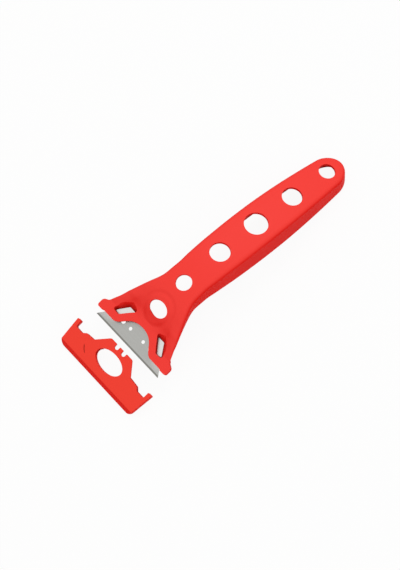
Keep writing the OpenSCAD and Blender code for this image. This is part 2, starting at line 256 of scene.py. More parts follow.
edge_line = on_head([(start_share, 0.27), (0.3, 0.53), (0.4, 1), (0.52, 1.33), (0.72, 1.33),
                     (1, 1.07)], edge_r) + [(handle_len, edge_r)]
lean_line = on_head([(start_share, -0.67), (0.48, -0.5), (0.72, 0.33),
                     (1, 1)], lean_out) + [(handle_len, lean_out)]
lift_line = on_head([(start_share, 0), (0.29, 0.52), (0.36, 1), (0.44, 0.81), (0.52, 0.24),
                     (0.6, 0)], lift_h) + [(handle_len, 0)]
crown_line = on_head([(start_share, 0.07), (0.34, 0.17),
                      (0.54, 1)], crown_h) + [(handle_len, crown_h)]
print("crest at the middle of the grip", round(smooth(crest_line, neck_x + grip_run / 2), 2), "mm")

# %% [markdown]
# The handle is a hollow moulding, an arched channel that is open below. A ring of points runs over
# it at each station: up the skirt, round the soft top edge and across the back. The same rings,
# drawn in by the wall, make the hollow. Near the tail the rings shrink along the outline's own
# normals, which carries the rounding round the end. In the head the outer parts of the top are
# lifted, and a shallow moulded ring runs round the oval hole.

# %% Rings of the skin
hair, least_r, foot_r, crown_from = 0.01, 0.2, 0.35, 8.0
across_first, across_step, across_count = 0.985, 0.035, 28
lift_over = [(0.46, 0), (0.57, 0.03), (0.66, 0.12), (0.74, 0.32), (0.79, 0.56), (0.84, 0.8),
             (0.88, 0.9), (0.93, 0.98), (0.965, 1.0), (1.0, 1.0)]
across_top = []
for k in range(across_count):
    share = across_first - across_step * k
    across_top.append((share, smooth(lift_over, share) if share > lift_over[0][0] else 0.0))
oval_x, oval_w, oval_l = 27.7, 14.6, 10.8
ring_r, ring_half, ring_deep, ring_squeeze = 10.6, 2.6, 0.55, 1.12


def ring_mark(x, y):
    """how far the moulded ring round the oval hole lies under the skin"""
    away = (math.hypot((x - oval_x) * ring_squeeze, y) - ring_r) / ring_half
    return -ring_deep * math.cos(away * math.pi / 2) ** 2 if abs(away) < 1 else 0.0


def half_w(x):
    share = 1.0 if x <= cap_x else math.sqrt(max(0.0, 1 - ((x - cap_x) / cap_l) ** 2))
    return smooth(flank_line, x) * share


def spread(x):
    return (half_w(x + hair) - half_w(x - hair)) / (2 * hair)


def half_ring(x, inset, drop, low, steps=10):
    """one half of a ring, drawn in by inset, lowered by drop on top and by low at its foot"""
    d = spread(x)
    root = math.sqrt(1 + d * d)
    dx, dy = (0.0, root) if x <= cap_x else (-d / root, 1 / root)
    r = max(least_r, smooth(edge_line, x) - inset)
    y, lift, lean = half_w(x), smooth(lift_line, x), smooth(lean_line, x)
    foot = inset - lean
    rim = smooth(rim_line, x) - low
    edge = min(foot_r, (smooth(crest_line, x) + lift - drop - r - rim) / 3)
    ring = [(x - dx * (foot + edge), max(hair, y - dy * (foot + edge)), rim),
            (x - dx * foot, max(hair, y - dy * foot), rim + edge)]
    for k in range(steps + 1):
        a = math.radians(90 * k / steps)
        o = inset + r * (1 - math.cos(a))
        px = x - dx * o
        top = smooth(crest_line, px) + lift - drop
        ring.append((px, max(hair, y - dy * o), top - r * (1 - math.sin(a))))
    last = ring[-1]
    crown = smooth(crown_line, x) * min(1.0, last[1] / crown_from)
    for s, on in across_top:
        mark = ring_mark(last[0], last[1] * s) if inset == 0 else 0.0
        ring.append((last[0], last[1] * s,
                     last[2] - lift * (1 - on) + crown * (1 - s * s) + mark))
    return ring


print("a ring has", 2 * len(half_ring(neck_x, 0, 0, 0)), "points")

# %% [markdown]
# Stations along the handle are joined by faces, like the ribs and planks of a boat. The cap at the
# tail takes its stations by angle, which keeps its rounding even, and both ends are closed.

# %% Skin of the handle
cap_sweep = 88.5


def skin(name, first, inset, drop, low, head_steps=64, grip_steps=100, cap_steps=26):
    xs = [first + (neck_x - first) * k / head_steps for k in range(head_steps)]
    xs += [neck_x + (cap_x - neck_x) * k / grip_steps for k in range(grip_steps + 1)]
    xs += [cap_x + cap_l * math.sin(math.radians(cap_sweep * k / cap_steps))
           for k in range(1, cap_steps + 1)]
    rings = []
    for x in xs:
        half = half_ring(x, inset, drop, low)
        rings.append(half + [(px, -py, pz) for px, py, pz in reversed(half)])
    m = len(rings[0])
    points = [p for ring in rings for p in ring]
    faces = []
    for i in range(len(rings) - 1):
        for j in range(m):
            k = (j + 1) % m
            faces.append((i * m + j, i * m + k, (i + 1) * m + k, (i + 1) * m + j))
    e = (len(rings) - 1) * m
    for j in range(m // 2 - 1):
        faces.append((m - 1 - j, m - 2 - j, j + 1, j))
        faces.append((e + j, e + j + 1, e + m - 2 - j, e + m - 1 - j))
    made = solid(name, points, faces)
    tidy_faces(made)
    return made


handle = skin("handle skin", start_x, 0, 0, 0)
print("skin", len(handle.data.polygons), "faces")

# %% [markdown]
# The jaws are a flat slab in the blade's plane: two lobes at the front corners and a fillet behind
# each. An outline in s (from the cutting edge) and y is drawn for one half, mirrored and extruded.
# A small bevel before it joins the skin gives it the soft corners of a moulding. A thinner plate
# lies under the blade.

# %% Jaws of the head
def arc(centre, r, a, b, n=8):
    out = []
    for i in range(n + 1):
        t = math.radians(a + (b - a) * i / n)
        out.append((centre[0] + r * math.cos(t), centre[1] + r * math.sin(t)))
    return out


def both(half):
    return half + [(s, -y) for s, y in reversed(half)]


def prism(name, outline, n0, n1):
    clean = [p for i, p in enumerate(outline)
             if (Vector(p) - Vector(outline[i - 1])).length > weld]
    m = len(clean)
    points = [(s, y, n0) for s, y in clean] + [(s, y, n1) for s, y in clean]
    faces = [tuple(range(m)), tuple(range(2 * m - 1, m - 1, -1))]
    faces += [(i, m + i, m + (i + 1) % m, (i + 1) % m) for i in range(m)]
    made = solid(name, points, faces)
    tidy_faces(made)
    return made


step_y, step_out, plate_inset, plate_overlap = blade_len / 2 - 2.5, 0.6, 1.6, 0.2
lobe_front_r, lobe_rear_r, lobe_rear_s = 1.5, 2.8, 0.55 * jaw_rear
fillet_s, fillet_y, fillet_r = 0.695 * jaw_rear, head_half - 1.5, 3.0
jaw_soft, jaw_soft_steps, plate_soft = 0.7, 4, 0.3
jaw_side_shares = [(0.686, 0.826), (0.771, 0.689), (1, 0.557)]
jaw_sides = [(share * jaw_rear, value * head_half) for share, value in jaw_side_shares]
jaw_half = [(blade_out, step_y), (blade_out - step_out, step_y + step_out)]
jaw_half += arc((blade_out - step_out + lobe_front_r, head_half - lobe_front_r),
                lobe_front_r, 180, 90, 6)
jaw_half += arc((lobe_rear_s - lobe_rear_r, head_half - lobe_rear_r), lobe_rear_r, 90, 10)
jaw_half += arc((fillet_s, fillet_y), fillet_r, 188, 243) + jaw_sides
jaws = soften(prism("jaws", both(jaw_half), -slot_top, jaw_top), jaw_soft, jaw_soft_steps)
plate_half = [(blade_out, step_y), (blade_out + plate_inset, head_half - plate_inset),
              (lobe_rear_s, head_half - 2 * plate_inset),
              (jaw_sides[1][0], jaw_sides[1][1] - plate_inset / 2),
              (jaw_rear - plate_inset / 2, jaw_sides[2][1] - plate_inset / 2)]
lower = soften(prism("lower jaw", both(plate_half), -jaw_low, -slot_top + plate_overlap),
               plate_soft)
for part in (jaws, lower):
    part.data.transform(TO_HANDLE)
    combine(handle, part, "UNION")
print("handle with its jaws", len(handle.data.polygons), "faces")

# %% [markdown]
# Next come the openings. A cutter is lofted through outlines at several heights. It flares in a
# quarter round where it leaves the surface, so that an opening gets the rounded lip of a moulded
# part instead of a knife-sharp edge.

# %% Cutters with a lip
corner_limit = 0.35


def offset(outline, d):
    """the outline grown by d, with a limit on its sharp corners"""
    out = []
    m = len(outline)
    for i in range(m):
        a, b, c = (Vector(outline[(i + k - 1) % m]) for k in range(3))
        u, v = (b - a).normalized(), (c - b).normalized()
        nu, nv = Vector((u.y, -u.x)), Vector((v.y, -v.x))
        way = (nu + nv).normalized()
        out.append(tuple(b + way * d / max(corner_limit, way.dot(nu))))
    return out


def area(outline):
    return sum(a[0] * b[1] - b[0] * a[1] for a, b in zip(outline, outline[1:] + outline[:1])) / 2


def lofted(name, layers):
    """layers: (height, outline) from low to high, all with the same number of points"""
    m = len(layers[0][1])
    last = (len(layers) - 1) * m
    points = [(s, y, n) for n, outline in layers for s, y in outline]
    faces = [tuple(range(m)), tuple(range(last + m - 1, last - 1, -1))]
    for k in range(len(layers) - 1):
        for i in range(m):
            j = (i + 1) % m
            faces.append((k * m + i, (k + 1) * m + i, (k + 1) * m + j, k * m + j))
    made = solid(name, points, faces)
    tidy_faces(made)
    return made


def flared(name, outline, low, top, lip, rise=2.0, steps=5):
    """a straight cutter up to the surface at height top, with a quarter-round lip there"""
    if area(outline) < 0:
        outline = outline[::-1]
    layers = [(low, outline), (top - lip, outline)]
    for k in range(1, steps + 1):
        a = math.radians(90 * k / steps)
        layers.append((top - lip + lip * math.sin(a), offset(outline, lip * (1 - math.cos(a)))))
    layers.append((top + rise, offset(outline, lip)))
    return lofted(name, layers)


def ellipse(half_long, half_wide, middle=0.0, sides=96):
    return [(middle + half_long * math.cos(math.tau * i / sides),
             half_wide * math.sin(math.tau * i / sides)) for i in range(sides)]


print("a unit circle of 96 sides has an area of", round(area(ellipse(1, 1)), 4))

# %% [markdown]
# The hollow is the same skin drawn in by the wall and lowered at its foot, so that it opens the
# handle from below. The arch in the front edge shows the middle of the blade. Its shares are of
# half its mouth and of its depth, and a mould's draft makes its upper rim a little smaller.

# %% Hollow and arch
hollow_behind, hollow_steps, arch_lip, arch_steps = 5.1, 40, 0.15, 24
arch_shares = [(0, 1), (0.194, 0.98), (0.353, 0.935), (0.506, 0.855), (0.659, 0.723),
               (0.8, 0.555), (0.93, 0.42), (1.03, 0.35), (1.13, 0.325)]
arch_draft_w, arch_draft_s = 0.7, 0.3
arch_rows = [(share * (arch_w / 2 - arch_draft_w), value * (arch_s - arch_draft_s))
             for share, value in arch_shares]
arch_end = arch_rows[-1][0]
arch_half = []
for i in range(arch_steps + 1):
    y = arch_end * i / arch_steps
    arch_half.append((smooth(arch_rows, y), max(hair, y)))
arch_half.append((-overrun, arch_end + overrun))
arch = flared("arch", both(arch_half), -overrun, jaw_top, arch_lip, rise=overrun)
arch.data.transform(TO_HANDLE)
hollow = skin("hollow", jaw_rear * pitch_cos + hollow_behind, wall, wall, overrun,
              head_steps=hollow_steps)
combine(handle, hollow, "DIFFERENCE")
combine(handle, arch, "DIFFERENCE")
print("handle, hollow and arched", len(handle.data.polygons), "faces")

# %% [markdown]
# Beside the arch a slanted window in each half of the head shows a corner of the blade. Its lower
# outline lies on the blade, its upper one is wider and lies further back, and the walls between are
# lofted. Both outlines get rounded corners, as a milled mould would give them.

# %% Windows beside the arch
win_low = [(10.3, 19.0), (10.9, 22.5), (14.9, 19.65), (18.9, 16.75), (18.9, 11.2)]
win_top = [(10.2, 18.1), (10.4, 25.4), (17.3, 22.6), (23.1, 15.6), (21.6, 8.9)]
win_h, win_rise, win_low_r, win_top_r, most_share = 4.6, 6.0, 0.7, 2.2, 0.45


def rounded(outline, r, steps=6):
    """a curve of about radius r, or what the sides leave room for, in place of each corner"""
    out = []
    for i, corner in enumerate(outline):
        b = Vector(corner)
        to_last, to_next = Vector(outline[i - 1]) - b, Vector(outline[(i + 1) % len(outline)]) - b
        reach = min(r / math.tan(to_last.angle(to_next) / 2),
                    most_share * to_last.length, most_share * to_next.length)
        p, q = b + to_last.normalized() * reach, b + to_next.normalized() * reach
        for k in range(steps + 1):
            u = k / steps
            out.append(tuple(p * (1 - u) ** 2 + b * 2 * u * (1 - u) + q * u * u))
    return out


for side in (1, -1):
    lower_way = rounded([(s, side * y) for s, y in win_low], win_low_r)
    upper_way = rounded([(s, side * y) for s, y in win_top], win_top_r)
    if area(lower_way) < 0:
        lower_way, upper_way = lower_way[::-1], upper_way[::-1]
    window = lofted("window", [(-overrun, lower_way), (slot_top, lower_way),
                               (win_h, upper_way), (win_h + win_rise, upper_way)])
    window.data.transform(TO_HANDLE)
    combine(handle, window, "DIFFERENCE")
print("two windows of", round(abs(area(win_low)), 1), "square mm over the blade")

# %% [markdown]
# The blade slides in a slot with the outline of a trapezium, with a little play all round. The
# tongue of the guard runs in a groove below the lips of the arch. One outline serves the tongue and
# its groove, grown by the play, so that the two always fit.

# %% Slot and groove
tongue_r, tongue_end_share, root_short = 1.2, 0.582, 0.3
back_half = blade_len / 2 - end_lean_share * blade_depth
slot_half = [(-slot_play, blade_len / 2 + slot_play),
             (blade_depth + slot_play, back_half + slot_play)]


def tongue_half(grow, r=tongue_r):
    fall = tongue_root * (1 - tongue_end_share) / (tongue_len - root_short)
    lean = math.hypot(fall, 1)
    corner_y = tongue_root - fall * tongue_len
    middle = (tongue_len - r + grow, corner_y + (fall - lean) * r + grow)
    return ([(-overrun, tongue_root + grow), (0, tongue_root + grow)]
            + arc(middle, r, math.degrees(math.atan2(1, fall)), 0))


slot = prism("slot", both(slot_half), -slot_top, slot_top)
groove = prism("groove", [(s + guard_root, y) for s, y in both(tongue_half(guard_play))],
               -overrun, tongue_top + guard_play)
for part in (slot, groove):
    part.data.transform(TO_HANDLE)
    combine(handle, part, "DIFFERENCE")
print("handle with its slot and groove", len(handle.data.polygons), "faces")

# %% [markdown]
# Small helpers for nodes come before the first tree. One adds a node with its settings and links,
# and one turns a written sRGB hex colour into the linear values that a shader needs.

# %% Helpers for nodes
def linear(hex_colour):
    parts = [int(hex_colour[i:i + 2], 16) / 255 for i in (1, 3, 5)]
    light = [c / 12.92 if c <= 0.04045 else ((c + 0.055) / 1.055) ** 2.4 for c in parts]
    return tuple(light) + (1.0,)


def add(tree, kind, place=(0, 0), values=None, links=None, **settings):
    node = tree.nodes.new(kind)
    node.location = place
    for name, value in settings.items():
        setattr(node, name, value)
    for name, value in (values or {}).items():
        node.inputs[name].default_value = value
    for name, source in (links or {}).items():
        tree.links.new(source, node.inputs[name])
    return node


print("the grey #808080 is", round(linear("#808080")[0], 3), "in linear light")

# %% [markdown]
# Five round holes follow the crest of the grip. That is a job for Geometry Nodes: a line of five
# points carries each hole's radius and slope as attributes, and the tree puts one flared cutter on
# every point, turned and sized by them. Realising the instances gives one mesh that is cut away.
# The cutter is a unit shape, so its depth, rise and lip are shares of a hole's radius. The holes
# are drawn 2 % smaller than the CAD's, for the draft of the mould.

# %% Centres of the round holes
def slope_at(x):
    return math.atan((smooth(crest_line, x + 1) - smooth(crest_line, x - 1)) / 2)


cut_deep, cut_rise, cut_lip, top_over_crest, hole_size_share = 1.4, 0.6, 0.03, 0.27, 0.98
unit_cutter = flared("unit cutter", ellipse(1, 1), -cut_deep, 0.0, cut_lip, rise=cut_rise)
hole_spots = [(neck_x, 5.6), (neck_x + 0.223 * grip_run, 7.1), (neck_x + 0.449 * grip_run, 8.3),
              (neck_x + 0.678 * grip_run, 7.1), (neck_x + 0.905 * grip_run, 5.8)]
line = solid("hole centres", [(x, 0, smooth(crest_line, x) + top_over_crest)
                              for x, r in hole_spots], [])
radius_of = line.data.attributes.new("hole_radius", "FLOAT", "POINT")
turn_of = line.data.attributes.new("hole_turn", "FLOAT_VECTOR", "POINT")
for i, (x, r) in enumerate(hole_spots):
    radius_of.data[i].value = r
    turn_of.data[i].vector = (0, -slope_at(x), 0)
print("holes at", [round(x, 1) for x, r in hole_spots], "mm from the cutting edge")

# %% [markdown]
# The tree takes its centres, its cutter and one factor as inputs. It reads the two attributes by
# name, puts the cutter on every centre, and ends in Realize Instances and Set Material. Its inputs
# are set by the sockets' identifiers, before the object is evaluated.

# %% Round holes with Geometry Nodes
tree = bpy.data.node_groups.new("cutters along the grip", "GeometryNodeTree")
for socket_name, kind in (("Centres", "NodeSocketGeometry"), ("Cutter", "NodeSocketObject"),
                          ("Oversize", "NodeSocketFloat")):
    tree.interface.new_socket(socket_name, in_out="INPUT", socket_type=kind)
tree.interface.new_socket("Cutters", in_out="OUTPUT", socket_type="NodeSocketGeometry")
entry = add(tree, "NodeGroupInput", (-600, 0))
radius_in = add(tree, "GeometryNodeInputNamedAttribute", (-600, -200), {"Name": "hole_radius"},
                data_type="FLOAT")
turn_in = add(tree, "GeometryNodeInputNamedAttribute", (-600, -360), {"Name": "hole_turn"},
              data_type="FLOAT_VECTOR")
sized = add(tree, "ShaderNodeMath", (-400, -200), operation="MULTIPLY",
            links={0: radius_in.outputs["Attribute"], 1: entry.outputs["Oversize"]})
cutter_in = add(tree, "GeometryNodeObjectInfo", (-400, 120),
                links={"Object": entry.outputs["Cutter"]})
put = add(tree, "GeometryNodeInstanceOnPoints", (-150, 0), links={
    "Points": entry.outputs["Centres"], "Instance": cutter_in.outputs["Geometry"],
    "Rotation": turn_in.outputs["Attribute"], "Scale": sized.outputs[0]})
real = add(tree, "GeometryNodeRealizeInstances", (50, 0),
           links={"Geometry": put.outputs["Instances"]})
paint = add(tree, "GeometryNodeSetMaterial", (200, 0),
            links={"Geometry": real.outputs["Geometry"]})
add(tree, "NodeGroupOutput", (400, 0), links={"Cutters": paint.outputs["Geometry"]})
step = line.modifiers.new("cutters", "NODES")
step.node_group = tree
sockets = {item.name: item.identifier for item in tree.interface.items_tree
           if item.in_out == "INPUT"}
step[sockets["Cutter"]] = unit_cutter
step[sockets["Oversize"]] = hole_size_share
bake(line)
tidy_faces(line)
print("cutters", len(line.data.polygons), "faces")
combine(handle, line, "DIFFERENCE")
bpy.data.objects.remove(unit_cutter)

# %% [markdown]
# Cuts leave tiny edges and faces with many sides, which a renderer or a printer may split badly.
# So a finished moulding has its tiny edges collapsed and its faces split well. Its matrix is baked
# into the mesh, so that the object itself stays at the origin like the CAD nodes.

# %% Finishing a moulding
least_edge = 0.003


def close_slivers(obj):
    bm = bmesh.new()
    bm.from_mesh(obj.data)
    bmesh.ops.remove_doubles(bm, verts=bm.verts, dist=least_edge)
    bmesh.ops.dissolve_degenerate(bm, edges=bm.edges, dist=least_edge)
    bmesh.ops.triangulate(bm, faces=[f for f in bm.faces if len(f.verts) > 3],
                          quad_method="BEAUTY", ngon_method="BEAUTY")
    bm.to_mesh(obj.data)
    bm.free()


def place(obj, matrix, name):
    close_slivers(obj)
    obj.data.transform(matrix)
    obj.data.update()
    obj.name = obj.data.name = name
    return obj


print("edges shorter than", least_edge, "mm are collapsed")

# %% [markdown]
# The oval hole lies where the head bends up into the neck. Its cutter leans with half the slope of
# the crest there, and it is drawn a little smaller than the CAD's oval, for the mould's draft.

# %% Oval hole in the head
oval_long_share, oval_wide_share = 0.95, 0.97
oval_deep, oval_top, oval_lip, oval_rise = 12, 0.3, 0.1, 8
oval = flared("oval", ellipse(oval_long_share * oval_l / 2, oval_wide_share * oval_w / 2),
              -oval_deep, oval_top, oval_lip, rise=oval_rise)
oval.data.transform(Matrix.Translation((oval_x, 0, smooth(crest_line, oval_x)))
                    @ Matrix.Rotation(-slope_at(oval_x) / 2, 4, "Y"))
combine(handle, oval, "DIFFERENCE")
place(handle, TO_ROW, "handle_moulding")
print("handle", len(handle.data.polygons), "faces")

# %% [markdown]
# The guard is a block that slides over the edge. Its outline is drawn in u, from the root of its
# tongue, with two arms that reach round the lobes of the jaws. Cutting the extruded outline with
# the extruded side view gives the block, whose front leans back in two facets.

# %% Block of the guard
guard_taper, corner_r, arm_tip, tip_r = 1.6, 4.0, 2.2, 0.6
notch_u, notch_r, shoulder_u, notch_in_share, shoulder_share = -2.7, 1.15, -0.6, 0.812, 0.74
facet_back, facet_drop, guard_soft = 2.9, 0.15, 0.5
guard_half_plan = (
    arc((-guard_l + corner_r, guard_half - guard_taper - corner_r), corner_r, 180, 95, 10)
    + arc((arm_tip - tip_r, guard_half - tip_r), tip_r, 90, 0, 5)
    + arc((arm_tip - tip_r, arm_in + tip_r), tip_r, 0, -90, 5)
    + arc((notch_u + notch_r, arm_in - notch_r), notch_r, 90, 180)
    + [(notch_u, notch_in_share * arm_in), (shoulder_u, shoulder_share * arm_in),
       (0, tongue_root)])
guard = prism("guard block", both(guard_half_plan), -guard_low, tongue_top)
facets = [nose[0], (facet_back - guard_l, tongue_top - facet_drop),
          (nose_back - guard_l, tongue_top)]
side_view = [(overrun, -guard_low), (-guard_l, -guard_low)] + facets + [(overrun, tongue_top)]
side = prism("side view", side_view, -2 * guard_half, 2 * guard_half)
side.data.transform(Matrix.Rotation(math.radians(90), 4, "X"))
combine(guard, side, "INTERSECT")
soften(guard, guard_soft)
print("block of the guard", len(guard.data.polygons), "faces")

# %% [markdown]
# The tongue runs under the lips of the arch, and a spring finger between two slots at its tip snaps
# the guard in place. A slot through the block takes the cutting edge, and an oval window opens it.

# %% Tongue, finger, slot for the edge and oval window
tongue_tip_r, tongue_soft = 2.2, 0.45
finger_half, finger_slot, finger_deep, finger_run, finger_cut = 1.7, 3.0, 3.2, 6.0, 6.0
tongue = prism("tongue", both(tongue_half(0, tongue_tip_r)), slot_top + slot_play, tongue_top)
for way in (1, -1):
    y0 = way * (finger_half + finger_slot / 2)
    s0 = tongue_len - finger_deep + finger_slot / 2
    outline = arc((s0, y0), finger_slot / 2, 90, 270, 16)
    outline += [(s0 + finger_run, y0 - finger_slot / 2), (s0 + finger_run, y0 + finger_slot / 2)]
    combine(tongue, prism("finger slot", outline, -finger_cut, finger_cut), "DIFFERENCE")
soften(tongue, tongue_soft)
combine(guard, tongue, "UNION")
pocket_y, pocket_deep, pocket_half_t = blade_len / 2 + 0.5, 6.1, 0.6
pocket = prism("pocket", both([(-pocket_deep, pocket_y), (0, pocket_y)]),
               -pocket_half_t, pocket_half_t)
combine(guard, pocket, "DIFFERENCE")
guard_oval_u, guard_oval_w, guard_oval_l, guard_oval_lip, guard_cut = -3.2, 22.8, 13.0, 0.2, 6.0
guard_oval = flared("guard oval", ellipse(guard_oval_l / 2, guard_oval_w / 2, guard_oval_u),
                    -guard_cut, tongue_top, guard_oval_lip)
combine(guard, guard_oval, "DIFFERENCE")
print("guard with its openings", len(guard.data.polygons), "faces")

# %% [markdown]
# A crescent-shaped mark of the mould lies in the guard's left quarter. It is a real recess: an arc,
# and back along a thinner arc, extruded and cut out of the top.

# %% Crescent-shaped mark of the mould
mark_u, mark_y, mark_r, mark_wide, mark_deep = -1.9, 12.4, 9.7, 0.8, 0.35
mark_from, mark_to, mark_steps = 118, 158, 12
mark_line = arc((mark_u, mark_y), mark_r, mark_from, mark_to, mark_steps)
for k in range(mark_steps - 1, 0, -1):
    thin = 1 - mark_wide / mark_r * math.sin(math.pi * k / mark_steps)
    mark_line.append((mark_u + (mark_line[k][0] - mark_u) * thin,
                      mark_y + (mark_line[k][1] - mark_y) * thin))
mark = prism("mould mark", mark_line, tongue_top - mark_deep, tongue_top + 1)
combine(guard, mark, "DIFFERENCE")
guard.data.transform(Matrix.Translation((guard_place, 0, 0)))
place(guard, BLADE_TO_ROW, "guard_moulding")
print("guard", len(guard.data.polygons), "faces")

# %% [markdown]
# The handle and the guard are injection-moulded polypropylene, dyed red all through. To the eye
# that is a deep, even red with a soft sheen and a very fine grain from the mould. The faces that
# look up are painted a little lighter, as painted sheen, and are a little smoother than the skirt.
# The red is painted darker in corners and inside the openings, as painted shade where the surface
# hides the sky.

# %% Colour of moulded polypropylene
flow_mm, grain_mm, grain_deep_mm, crevice_mm = 22.2, 0.625, 0.04, 8.0
upward_from, upward_to, shade_from, shade_to = 0.35, 0.98, 0.3, 0.95
skirt_rough, upward_rough, plastic_ior, plastic_sheen = 0.55, 0.35, 1.49, 0.05
shade_colour, crevice_rays = "#6E0602", 12


def per_metre(size_mm):
    """how often a pattern of that size comes in a metre, which is a texture's scale"""
    return 1 / (size_mm * MM)


def flow_and_painted_sheen(t, coord, colour, flow_colour, painted_sheen_colour):
    """the red with its faint clouds, and the mask and lighter colour of the faces that look up, a
    painted sheen
    """
    # the dye flows into the mould in faint clouds of about 20 mm
    cloud = add(t, "ShaderNodeTexNoise", (-600, 100),
                {"Scale": per_metre(flow_mm), "Detail": 3.0, "Roughness": 0.5},
                {"Vector": coord.outputs["Object"]})
    tint = add(t, "ShaderNodeMix", (-300, 200), data_type="RGBA",
               links={"Factor": cloud.outputs["Fac"]})
    tint.inputs["A"].default_value = linear(colour)
    tint.inputs["B"].default_value = linear(flow_colour)
    facing = add(t, "ShaderNodeSeparateXYZ", (-600, 420), links={"Vector": coord.outputs["Normal"]})
    # painted sheen: faces that look up are mixed toward a lighter red, and the same mask makes them
    # smoother
    upward_share = add(t, "ShaderNodeMapRange", (-400, 420),
                  {"From Min": upward_from, "From Max": upward_to},
                  {"Value": facing.outputs["Z"]}, interpolation_type="SMOOTHSTEP")
    sheen_painted_red = add(t, "ShaderNodeMix", (-80, 260), data_type="RGBA",
                links={"Factor": upward_share.outputs["Result"], "A": tint.outputs["Result"]})
    sheen_painted_red.inputs["B"].default_value = linear(painted_sheen_colour)
    return upward_share, sheen_painted_red


def with_painted_shade(t, sheen_painted_red):
    """painted shade: a darker red where the surface itself hides the sky"""
    hidden = add(t, "ShaderNodeAmbientOcclusion", (-80, 420), {"Distance": crevice_mm * MM},
                 samples=crevice_rays, only_local=True)
    open_to_sky = add(t, "ShaderNodeMapRange", (100, 420),
                      {"From Min": shade_from, "From Max": shade_to},
                      {"Value": hidden.outputs["AO"]}, interpolation_type="SMOOTHSTEP")
    # painted shade: corners and openings are mixed toward the dark shade colour
    shaded_red = add(t, "ShaderNodeMix", (100, 260), data_type="RGBA",
               links={"Factor": open_to_sky.outputs["Result"], "B": sheen_painted_red.outputs["Result"]})
    shaded_red.inputs["A"].default_value = linear(shade_colour)
    return shaded_red


print("clouds come", round(per_metre(flow_mm)), "and grain", round(per_metre(grain_mm)), "a metre")

# %% [markdown]
# The two parts of the colour come together in one material, with the grain of the mould as a bump.
# A uniform value, such as the level of the sheen, is set on the shader's own socket.

# %% The plastic of the handle and of the guard
def moulded_plastic(name, colour, flow_colour, painted_sheen_colour):
    material = bpy.data.materials.new(name)
    material.use_nodes = True
    t = material.node_tree
    t.nodes.clear()
    out = add(t, "ShaderNodeOutputMaterial", (600, 0))
    coord = add(t, "ShaderNodeTexCoord", (-800, 0))
    upward_share, sheen_painted_red = flow_and_painted_sheen(t, coord, colour, flow_colour, painted_sheen_colour)
    # painted shade in the corners and openings
    shaded_red = with_painted_shade(t, sheen_painted_red)
    # a mould's grain is about 0.1 mm, and it is drawn six times as coarse so that it shows
    grain = add(t, "ShaderNodeTexNoise", (-600, -200),
                {"Scale": per_metre(grain_mm), "Detail": 2.0},
                {"Vector": coord.outputs["Object"]})
    bump = add(t, "ShaderNodeBump", (-100, -200),
               {"Strength": 0.12, "Distance": grain_deep_mm * MM},
               {"Height": grain.outputs["Fac"]})
    rough = add(t, "ShaderNodeMapRange", (-80, 60), {"To Min": skirt_rough, "To Max": upward_rough},
                {"Value": upward_share.outputs["Result"]})
    shader = add(t, "ShaderNodeBsdfPrincipled", (200, 0),
                 {"IOR": plastic_ior, "Specular IOR Level": plastic_sheen},
                 {"Base Color": shaded_red.outputs["Result"], "Roughness": rough.outputs["Result"],
                  "Normal": bump.outputs["Normal"]})
    t.links.new(shader.outputs["BSDF"], out.inputs["Surface"])
    return material


# the third colour of each plastic is the painted sheen on the faces that look up
handle_plastic = moulded_plastic("moulded_polypropylene_red", "#E81C13", "#E01810", "#EF3E37")
guard_plastic = moulded_plastic("moulded_polypropylene_guard", "#E81E12", "#E01A0F", "#EF4032")
print("plastics", handle_plastic.name, guard_plastic.name)

# %% [markdown]
# The two mouldings are shaded smooth, with edges kept sharp where the surface turns by more than 35
# degrees. Weighted normals let the large faces decide the shading at their borders, so a flat face
# stays flat right up to a softened edge. Then each moulding replaces its CAD solid and rides on it.

# %% Mouldings onto their bodies
sharp_from = math.radians(35)
for piece, plastic, node, body, finish in (
        (handle, handle_plastic, "handle", "handle", "red_plastic"),
        (guard, guard_plastic, "guard", "guard", "guard_plastic")):
    piece.data.materials.clear()
    piece.data.materials.append(plastic)
    for polygon in piece.data.polygons:
        polygon.material_index = 0
    piece.data.shade_smooth()
    piece.data.set_sharp_from_angle(angle=sharp_from)
    even = piece.modifiers.new("even shading", "WEIGHTED_NORMAL")
    even.keep_sharp = True
    bake(piece)
    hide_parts(node)
    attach(piece, body)
    print(piece.name, "replaces", node, "with", len(piece.data.polygons), "faces")

# %% [markdown]
# The blade is rolled carbon steel, ground along one edge. Rolling leaves faint lines along the
# strip, grinding leaves a finer band at the cutting edge that is painted darker as painted shade,
# and the ends are painted brighter as a painted highlight. A dot product with the blade's own
# direction gives the distance from the edge, so both marks follow the steel whichever way it is
# looked at.

# %% Places on the blade
steel = bpy.data.materials.new("rolled_carbon_steel_ground_edge")
steel.use_nodes = True
t = steel.node_tree
t.nodes.clear()
out = add(t, "ShaderNodeOutputMaterial", (900, 0))
coord = add(t, "ShaderNodeTexCoord", (-1100, 0))
along = BLADE_TO_ROW.to_3x3() @ Vector((1, 0, 0))
along.normalize()
from_edge = add(t, "ShaderNodeVectorMath", (-900, 200), operation="SUBTRACT",
                links={0: coord.outputs["Object"]})
from_edge.inputs[1].default_value = BLADE_TO_ROW @ Vector((0, 0, 0))
depth = add(t, "ShaderNodeVectorMath", (-700, 200), operation="DOT_PRODUCT",
            links={0: from_edge.outputs["Vector"]})
depth.inputs[1].default_value = along
sides = add(t, "ShaderNodeSeparateXYZ", (-900, 360), links={"Vector": coord.outputs["Object"]})
across = add(t, "ShaderNodeMath", (-700, 360), operation="ABSOLUTE", links={0: sides.outputs["Y"]})
print("the blade's direction", [round(v, 3) for v in along])
